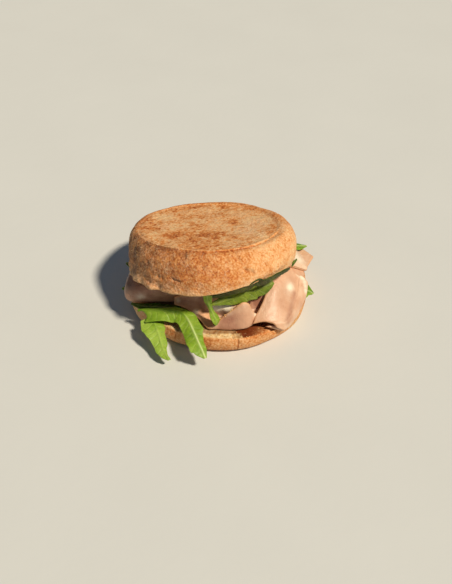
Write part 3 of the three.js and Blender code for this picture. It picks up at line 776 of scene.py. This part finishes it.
def leaf_body(
    stations, seed, lobes=(), pale=0.4, ruffle=0.5, rib_strength=0.5, rib_start=-0.2, olive_painted_shade=0,
    up=(0, 0, 1),
):
    """Blade swept along its midrib. A station is the blade's width to its left and right,
    its lean about the midrib in degrees, and the midrib's place. A lobe is the share along
    the blade, the side (-1 left, 1 right), its reach, its width and how far it points back."""
    t, rib, widths, forward, side = leaf_spine(stations, up)
    face = np.cross(side, forward)
    length = path_length(rib)
    back = np.zeros((2, len(t)))
    for where, hand, reach, width, point_back in lobes:
        grow = hill(t, where, width)
        edge = int(hand > 0)
        widths[edge] = np.maximum(widths[edge] + reach * grow, 0.3)
        back[edge] += point_back * grow
    margin = 0.22 * noise(np.stack([length, length * 0 + seed, length * 0], 1), 2.2, seed)
    left, right = widths + [margin, -margin]

    u = np.linspace(-1, 1, 45)
    u = np.sign(u) * np.abs(u) ** 1.1
    w = u * np.where(u < 0, left[:, None], right[:, None])
    swing = u**2 * np.where(u < 0, back[0][:, None], back[1][:, None])
    wave = ruffle * u**2 * np.sin(length[:, None] / 2.6 + seed + np.where(u < 0, 0, 2))
    wave = wave * np.minimum(np.abs(w) / 4, 1)
    veins, vein_relief = leaf_veins(length, w)
    fold = wave - 0.12 * np.abs(w) + 0.2 * hill(w, 0, 0.55) - 0.05 * vein_relief
    grid = rib[:, None] + side[:, None] * w[..., None] + face[:, None] * fold[..., None]
    grid = grid - forward[:, None] * swing[..., None]
    grid = grid + face[:, None] * 0.1 * noise(grid, 2.4, seed + 1)[..., None]
    shown = smoothstep(t[:, None], rib_start - 0.1, rib_start + 0.1)
    values = {
        "rib": rib_strength * shown * (hill(w, 0, 0.3) + 0.3 * hill(w, 0, 0.8)),
        "vein": veins,
        "pale": pale + 0.2 * rough(grid, 7, 2, seed + 2),
        "olive_painted_shade": np.full(w.shape, olive_painted_shade),
    }
    near_edge = (0.06, 0.15)
    values = {key: np.pad(numbers, len(near_edge), "edge") for key, numbers in values.items()}
    return sheet_body(close_edges(grid, near_edge), LEAF, values)


def leaf_veins(length, w):
    """Side veins that leave the midrib forward at a slant, a few millimetres apart: the
    lines that show and the wider hollows they lie in"""
    slant = length[:, None] - 0.8 * np.abs(w) + 0.04 * w**2
    spacing = 3.6
    wander = noise(np.stack([length[:, None] + 0 * w, 0.4 * w, 0 * w], -1), 4, 3)
    phase = slant / spacing + np.where(w < 0, 0.4, 0) + 0.35 * wander
    away = np.abs(phase - np.round(phase)) * spacing
    strength = smoothstep(np.abs(w), 0.4, 1) * (1 - 0.5 * smoothstep(np.abs(w), 3, 6))
    return hill(away, 0, 0.28) * strength, hill(away, 0, 0.6) * strength


def tip(width, *places):
    """Stations of a short leaf tip: three places, with the blade's half width at the second"""
    return [(half, half, 0, *place) for half, place in zip((1.5, width, 0.7), places)]


LEAVES = {
    # left, right, lean, x, y, z
    "leaf_front": [
        (0.8, 1, 30, -40.6, -30.6, 14),
        (1, 3.6, 34, -34, -33.2, 16.8),
        (1, 5.6, 34, -26, -34.6, 18.2),
        (1.6, 6.4, 28, -19, -35.4, 18.2),
        (4.4, 5.4, 18, -15, -39.8, 17.1),
        (4, 5.4, 6, -11.9, -46.3, 15.3),
        (2.8, 5.6, -6, -8.9, -53.4, 13),
        (2.4, 4.2, -6, -7.2, -56.9, 11.4),
        (0.7, 0.7, 0, -5.8, -59.8, 9.5),
    ],
    "leaf_left": [
        (4, 6, 0, -33.4, -33.6, 12.6),
        (4.9, 7.4, 0, -31.4, -38.6, 11.6),
        (3, 5.4, 0, -29, -45, 9.8),
        (2.9, 4, 0, -27.6, -49.4, 8),
        (1.1, 3.4, 0, -25.9, -53.2, 6.5),
        (0.7, 0.8, 0, -23.6, -57.2, 5.5),
    ],
    "leaf_behind": [
        (0.7, 0.7, 0, -44.6, -24.2, 13),
        (2.6, 2.4, 0, -38, -26.4, 13),
        (3, 2.6, 0, -29, -27.2, 13.2),
        (2, 2.4, 0, -19, -28.6, 13.4),
    ],
    "leaf_center": [
        (2.6, 2.6, 20, -5, -41.2, 34.2),
        (2, 2, 20, -4.6, -40.4, 28.6),
        (1.1, 1.1, 0, -3.2, -40.8, 24.4),
        (2.2, 2.1, -42, -1.6, -42, 20.6),
        (2.3, 2.1, -42, -0.5, -42.8, 18),
        (0.8, 0.8, -42, -0.6, -43.2, 15.8),
    ],
    "leaf_under": [
        (0.8, 0.6, 50, -2.9, -38.6, 25.4),
        (3, 1.8, 56, 2.9, -37.3, 26),
        (4, 4, 62, 8, -35.6, 27.3),
        (4.5, 4.2, 62, 13.8, -33.7, 28.6),
        (4.5, 4, 60, 19.2, -31.8, 29.4),
        (4, 4, 55, 22.8, -30.2, 29.6),
        (3, 2.6, 50, 25.4, -29, 29.6),
        (0.8, 0.6, 50, 28, -27.4, 30),
    ],
    "leaf_top": [
        (0.6, 1.5, 104, -3, -40.4, 32.4),
        (0.6, 3.4, 104, 1, -40.2, 33.4),
        (0.6, 4, 106, 6, -40.2, 35.4),
        (0.6, 5, 110, 11, -40.4, 37.8),
        (0.6, 6.6, 114, 16, -39.9, 40.1),
        (0.6, 7, 114, 20.2, -38.2, 41.7),
        (0.6, 5.4, 108, 22.4, -37.2, 40),
        (0.6, 3.4, 96, 25.7, -34.7, 39.7),
        (0.6, 2.4, 88, 30.8, -29.6, 38.6),
        (0.6, 1.4, 84, 34.4, -25.2, 36.8),
        (0.4, 0.6, 84, 35.8, -23, 35.6),
    ],
    "leaf_right_top": tip(2.8, (37, 18, 19), (43.4, 18.6, 17), (48.8, 19.6, 16)),
    "leaf_right_low": [
        (2, 2.4, 0, 42.6, -11.8, 12.8),
        (6, 5.6, 0, 46.2, -12.6, 12),
        (2, 3.6, 0, 48.6, -13.4, 11.4),
        (0.7, 0.7, 0, 49.9, -14.6, 11),
    ],
    "leaf_left_tip": tip(3, (-42, -12, 12.6), (-46.6, -12.4, 13), (-50.4, -12, 13)),
    "leaf_left_back": tip(3, (-41, 5.5, 13), (-46, 5.8, 14), (-50, 6, 15)),
}

LEAF_DETAILS = {
    "leaf_front": {
        "pale": 0.43,
        "rib_strength": 0.75,
        "rib_start": 0.5,
        "lobes": [
            # share along the blade, side, reach, width, how far it points back
            (0.05, 1, -1.6, 0.04, 0),
            (0.17, 1, 2, 0.045, 5),
            (0.62, -1, 0.9, 0.03, -1),
            (0.8, 1, 0.8, 0.04, -1),
        ],
    },
    "leaf_left": {"pale": 0.58, "rib_strength": 0.12},
    # painted shade: leaf_behind and leaf_top lie in shade and are coloured dark
    "leaf_behind": {"pale": 0.1, "rib_strength": 0.2},
    "leaf_top": {"pale": 0, "rib_strength": 0, "olive_painted_shade": 0.9, "ruffle": 0.3},
    "leaf_under": {
        "pale": 0.3,
        "rib_strength": 0,
        "olive_painted_shade": 0.6,
        "lobes": [(0.38, 1, 1, 0.04, 0), (0.52, 1, 0.9, 0.03, -1)],
    },
    "leaf_center": {"pale": 0.5, "rib_strength": 0.15, "olive_painted_shade": 0.2, "up": (0, -1, 0), "ruffle": 0.2},
}


# ---- finishes ----


def colour(red, green, blue):
    """Linear colour from the usual 0 to 255 values"""
    values = np.array([red, green, blue]) / 255
    linear = np.where(values > 0.04045, ((values + 0.055) / 1.055) ** 2.4, values / 12.92)
    return (*linear, 1)


class Finish:
    """A node material under construction; its sizes are in millimetres on the object"""

    def __init__(self, name, **constants):
        self.material = bpy.data.materials.new(name)
        self.material.use_nodes = True
        self.tree = self.material.node_tree
        self.shader = self.tree.nodes["Principled BSDF"]
        self.place = self.node("TexCoord").outputs["Object"]
        for key, value in constants.items():
            self.shader.inputs[key.replace("_", " ")].default_value = value

    def node(self, kind, settings=None, **inputs):
        node = self.tree.nodes.new("ShaderNode" + kind)
        for key, value in (settings or {}).items():
            setattr(node, key, value)
        for key, value in inputs.items():
            self.feed(node.inputs[int(key[1:]) if key[1:].isdigit() else key], value)
        return node

    def feed(self, socket, value):
        if isinstance(value, bpy.types.NodeSocket):
            self.tree.links.new(value, socket)
        else:
            socket.default_value = value

    def attribute(self, name):
        return self.node("Attribute", {"attribute_name": name}).outputs["Fac"]

    def math(self, operation, a, b):
        return self.node("Math", {"operation": operation}, i0=a, i1=b).outputs[0]

    def plus(self, a, b):
        return self.math("ADD", a, b)

    def times(self, a, b):
        return self.math("MULTIPLY", a, b)

    def steps(self, value, low, high):
        """0 below low, 1 above high and smooth between"""
        settings = {"interpolation_type": "SMOOTHSTEP"}
        return self.node("MapRange", settings, i0=value, i1=low, i2=high).outputs[0]

    def noise(self, size, detail=3.0, stretch=(1, 1, 1), roughness=0.5):
        """Noise from 0 to 1 whose features are about one size across"""
        scale = tuple(s / (size * UNIT) for s in stretch)
        place = self.node("Mapping", Vector=self.place, Scale=scale).outputs[0]
        inputs = {"Vector": place, "Scale": 1.0, "Detail": detail, "Roughness": roughness}
        return self.node("TexNoise", **inputs).outputs[0]

    def centred(self, value, strength):
        """Noise moved to lie round 0, from about minus half the strength to half"""
        return self.times(self.plus(value, -0.5), strength)

    def mix(self, share, a, b):
        return self.node("Mix", {"data_type": "RGBA"}, i0=share, i6=a, i7=b).outputs[2]

    def ramp(self, value, *stops):
        """Blends colours, each given as the value it stands at and its red, green and blue"""
        node = self.node("ValToRGB", i0=value)
        elements = node.color_ramp.elements
        for element, (at, *shade) in zip(elements, (stops[0], stops[-1])):
            element.position, element.color = at, colour(*shade)
        for at, *shade in stops[1:-1]:
            elements.new(at).color = colour(*shade)
        return node.outputs[0]

    def finish(self, base, roughness, heights):
        """Joins colour and roughness, and raises bumps given as (height in mm, value)"""
        self.feed(self.shader.inputs["Base Color"], base)
        self.feed(self.shader.inputs["Roughness"], roughness)
        bump_socket = None
        for height, value in heights:
            node = self.node("Bump", Height=value, Distance=height * UNIT)
            if bump_socket:
                self.feed(node.inputs["Normal"], bump_socket)
            bump_socket = node.outputs[0]
        self.feed(self.shader.inputs["Normal"], bump_socket)
        return self.material


def crust_finish():
    """Floured, mottled crust on the outside, open crumb on the cut face, with painted shade in the
    crumb's holes, in the side's pits and on the cut face under the ham
    """
    f = Finish("crust", Specular_IOR_Level=0.2)
    patches = f.centred(f.noise(9, 4, (1, 0.8, 1), 0.55), 0.9)
    mottle = f.centred(f.noise(2.2, 3, (1, 0.7, 1), 0.6), 0.6)
    grain = f.centred(f.noise(1.0, 1), 1.25)
    toast = f.plus(f.attribute("toast"), f.plus(patches, f.plus(mottle, grain)))
    baked = f.ramp(
        toast,
        (0.0, 236, 196, 144),
        (0.3, 232, 172, 120),
        (0.52, 216, 146, 84),
        (0.75, 198, 114, 56),
        (1.0, 152, 78, 34),
    )
    # duller, darker crust on the lid's left side, and painted shade in the side's pits and creases
    dull = f.mix(f.times(f.attribute("speckle_and_pit_shade"), 0.45), baked, colour(164, 112, 72))
    dark = f.times(f.steps(f.noise(5.5, 3, (1, 1, 1), 0.6), 0.4, 0.6), f.attribute("speckle_and_pit_shade"))
    shaded = f.mix(f.times(dark, 0.72), dull, colour(92, 52, 34))
    cover = f.plus(f.attribute("flour"), f.centred(f.noise(3.4, 4, (1, 0.7, 1), 0.65), 1.4))
    dust = f.steps(f.plus(cover, f.centred(f.noise(0.9, 2), 1.4)), 0.25, 1.1)
    outside = f.mix(f.times(dust, 0.65), shaded, colour(240, 196, 158))
    bubbles = f.noise(1.6, 3, (1, 1, 1), 0.6)
    crumb = f.ramp(bubbles, (0.32, 216, 168, 106), (0.5, 238, 206, 152), (0.68, 248, 228, 186))
    # painted shade in the crumb's holes and the crack
    with_hole_shade = f.mix(f.times(f.attribute("painted_hole_shade"), 0.7), crumb, colour(140, 74, 24))
    # painted shade on the cut face under and beside the ham
    cut = f.mix(f.attribute("painted_cut_shade"), with_hole_shade, colour(104, 44, 8))
    base = f.mix(f.attribute("crumb"), outside, cut)
    roughness = f.plus(0.7, f.times(dust, 0.2))
    heights = [(0.5, f.noise(2.4, 3)), (0.25, f.noise(0.9, 2)), (0.1, dust)]
    return f.finish(base, roughness, heights)


def ham_finish():
    """Cooked ham: pink tan, moist, with paler fat and painted highlights, rosier meat and painted shade,
    faint specks and a tan edge
    """
    f = Finish("ham", Specular_IOR_Level=0.5, Coat_Weight=0.12, Coat_Roughness=0.3)
    grades = f.noise(6, 4, (1, 1, 0.7), 0.55)
    meat = f.ramp(grades, (0.32, 214, 164, 132), (0.5, 224, 178, 146), (0.68, 233, 194, 163))
    fibres = f.steps(f.noise(1.5, 4, (1, 1, 0.4), 0.6), 0.5, 0.68)
    streaked = f.mix(f.times(fibres, 0.25), meat, colour(214, 164, 134))
    # painted shade: the rose mask darkens the ham where it lies in shade, as well as making its meat
    # rosier
    rose_and_shade = f.attribute("rose_and_shade")
    uneven = f.plus(rose_and_shade, f.times(f.centred(f.noise(4, 3), 1), rose_and_shade))
    rosy_and_shaded = f.mix(f.times(uneven, 0.85), streaked, colour(162, 110, 88))
    dots = f.node("TexVoronoi", Vector=f.place, Scale=1 / (2.5 * UNIT)).outputs["Distance"]
    near_dots = f.math("SUBTRACT", 1, f.steps(dots, 0.06, 0.18))
    specks = f.times(near_dots, f.steps(f.noise(7, 1), 0.46, 0.5))
    specked = f.mix(f.times(specks, 0.3), rosy_and_shaded, colour(140, 100, 80))
    # pale fat, and painted highlights where the mask marks lit rims and bulges
    fat_and_highlight_share = f.plus(f.attribute("fat_and_highlight"), f.centred(f.noise(2.2, 3), 0.4))
    with_fat_and_highlight = f.mix(f.steps(fat_and_highlight_share, 0.05, 1.05), specked, colour(248, 234, 212))
    base = f.mix(f.times(f.attribute("rind"), 0.5), with_fat_and_highlight, colour(222, 160, 106))
    roughness = f.plus(0.36, f.times(f.noise(3, 3), 0.2))
    return f.finish(base, roughness, [(0.3, f.noise(2.4, 3)), (0.12, f.noise(0.6, 2))])


def leaf_finish():
    """Rocket: satin green, paler in patches and below, with a pale midrib and faint veins, and dull
    olive greens painted as warm shade on leaves that lie in shade
    """
    f = Finish("leaf", Specular_IOR_Level=0.35, Subsurface_Weight=0.25)
    f.shader.inputs["Subsurface Radius"].default_value = (0.6, 1.0, 0.15)
    f.shader.inputs["Subsurface Scale"].default_value = 0.8 * UNIT
    tone = f.plus(f.attribute("pale"), f.centred(f.noise(2.5, 3), 0.5))
    fresh = f.ramp(tone, (0, 46, 70, 12), (0.2, 84, 120, 22), (0.45, 128, 160, 40), (0.9, 176, 200, 90))
    # painted shade: duller, darker olive greens for leaves in shade, warmed as by light from the ham and
    # bread
    dull = f.ramp(tone, (0, 50, 56, 8), (0.5, 140, 144, 44), (0.9, 176, 180, 80))
    blade = f.mix(f.attribute("olive_painted_shade"), fresh, dull)
    fine = f.mix(f.times(f.steps(f.noise(0.5, 2), 0.5, 0.66), 0.25), blade, colour(96, 132, 28))
    veined = f.mix(f.times(f.attribute("vein"), 0.1), fine, colour(200, 214, 130))
    ribbed = f.mix(f.times(f.attribute("rib"), 0.8), veined, colour(214, 226, 160))
    base = f.mix(f.times(f.attribute("under"), 0.3), ribbed, colour(160, 180, 100))
    roughness = f.plus(0.4, f.times(f.noise(1.2, 3), 0.2))
    heights = [(0.1, f.noise(0.9, 3)), (0.12, f.times(f.attribute("vein"), -1.0))]
    return f.finish(base, roughness, heights)


def grain_finish():
    """Semolina and bread crumbs caught on the crust"""
    f = Finish("grain", Specular_IOR_Level=0.3)
    base = f.ramp(f.noise(1.7, 1), (0.35, 176, 122, 66), (0.5, 222, 180, 118), (0.65, 240, 214, 166))
    roughness = f.plus(0.6, f.times(f.noise(1, 1), 0.2))
    return f.finish(base, roughness, [(0.05, f.noise(0.3, 2))])


def floor_finish():
    f = Finish("floor", Specular_IOR_Level=0.3)
    base = f.mix(f.noise(60, 2), colour(212, 213, 213), colour(217, 218, 218))
    return f.finish(base, 0.6, [(0.05, f.noise(6, 2))])


# ---- pieces ----

crust, ham, leaf, grain = crust_finish(), ham_finish(), leaf_finish(), grain_finish()


def add(node, body, kind, material):
    """The finer mesh of a node of the frame"""
    points, faces, values = body
    make_piece(node + "_look", points, faces, kind, material, [node], values)


def lumps(centres, sizes, seed):
    """Small uneven lumps, one at each centre"""
    draw = np.random.default_rng(seed)
    ball = bmesh.new()
    bmesh.ops.create_icosphere(ball, subdivisions=1, radius=1)
    ball.verts.index_update()
    corners = np.array([v.co[:] for v in ball.verts])
    sides = np.array([[v.index for v in face.verts] for face in ball.faces])
    ball.free()
    count = len(centres)
    stretch = draw.uniform(0.6, 1.2, (count, 1, 3))
    dents = draw.uniform(0.8, 1.15, (count, len(corners), 1))
    points = centres[:, None] + corners * stretch * dents * sizes[:, None, None]
    faces = sides + np.arange(count)[:, None, None] * len(corners)
    return points.reshape(-1, 3), faces.reshape(-1, 3).tolist()


def scattered(name, points, weights, count, smallest, largest, seed):
    """Grains resting on a surface, more of them where the weights are higher"""
    draw = np.random.default_rng(seed)
    chosen = draw.choice(len(points), count, p=weights / weights.sum())
    sizes = smallest + (largest - smallest) * draw.random(count) ** 3
    lump_points, faces = lumps(points[chosen] + draw.normal(0, 0.08, (count, 3)), sizes, seed)
    make_piece(name, lump_points, faces, "muffin", grain)


crust_bottom, crust_top = muffin_bottom(), muffin_top()
add("muffin_bottom", crust_bottom, "muffin", crust)
add("muffin_top", crust_top, "muffin", crust)
on_side = (1 - crust_top[2]["crumb"]) * (0.004 + crust_top[2]["speckle_and_pit_shade"] ** 2)
scattered("semolina_grains", crust_top[0], on_side, 600, 0.1, 0.2, 71)
on_cut = crust_bottom[2]["crumb"] * smoothstep(np.hypot(*crust_bottom[0][:, :2].T), 42, 46)
scattered("bread_crumbs", crust_bottom[0], on_cut, 700, 0.12, 0.5, 72)
on_fold = [(3.5, -39.4, 19.4), (6.3, -38.8, 21.2), (7, -38.6, 22)]
on_fold += [(1, -40.2, 17.6), (10, -37.8, 24), (4, -40, 18.6)]
fold_sizes = np.array([0.5, 0.4, 0.5, 0.6, 0.35, 0.3])
make_piece("fold_crumbs", *lumps(np.array(on_fold), fold_sizes, 73), "muffin", grain)
for make_ham in (ham_left, ham_middle, ham_corner, ham_right, ham_center):
    add(make_ham.__name__, make_ham(), "ham", ham)
# painted shade: the sliver lies in shade and is coloured dark olive
sliver = [(0.4, 0.4, 60, 37.2, -17.6, 32.4), (0.8, 0.8, 60, 39, -13.4, 31.6)]
sliver += [(0.4, 0.4, 60, 40.4, -9.6, 30.4)]
points, faces, values = leaf_body(sliver, 31, pale=0.15, rib_strength=0, olive_painted_shade=0.6)
make_piece("leaf_sliver", points, faces, "leaf", leaf, values=values)
for seed, (node, stations) in enumerate(LEAVES.items()):
    add(node, leaf_body(stations, seed + 1, **LEAF_DETAILS.get(node, {})), "leaf", leaf)

# ---- floor, light and camera ----

# The direction of the sun's light and the place of the camera, as in the photo
TO_SUN = (0.58, -0.47, 1)
CAMERA_PLACE = (4.2, -328.25, 290.87)
CAMERA_TILT = 48.4
CAMERA_SENSOR = 36
CAMERA_LENS = 49.315
FLOOR_WIDTH = 3000

bpy.ops.mesh.primitive_plane_add(size=FLOOR_WIDTH * UNIT)
floor = bpy.context.object
floor.name = "floor"
floor.data.materials.append(floor_finish())

sun = bpy.data.objects.new("sun", bpy.data.lights.new("sun", "SUN"))
sun.data.energy = 3.8
sun.data.color = (1, 0.895, 0.7)
sun.data.angle = np.radians(6)
sun.rotation_euler = Vector(TO_SUN).to_track_quat("Z", "Y").to_euler()
bpy.context.scene.collection.objects.link(sun)

world = bpy.data.worlds.new("world")
world.use_nodes = True
world.node_tree.nodes["Background"].inputs["Color"].default_value = (0.58, 0.78, 1, 1)
world.node_tree.nodes["Background"].inputs["Strength"].default_value = 0.13
bpy.context.scene.world = world

camera = bpy.data.objects.new("camera", bpy.data.cameras.new("camera"))
camera.data.sensor_width = CAMERA_SENSOR
camera.data.lens = CAMERA_LENS
camera.location = Vector(CAMERA_PLACE) * UNIT
camera.rotation_euler = (np.radians(CAMERA_TILT), 0, 0)
bpy.context.scene.collection.objects.link(camera)
bpy.context.scene.camera = camera
bpy.context.scene.view_settings.view_transform = "Standard"
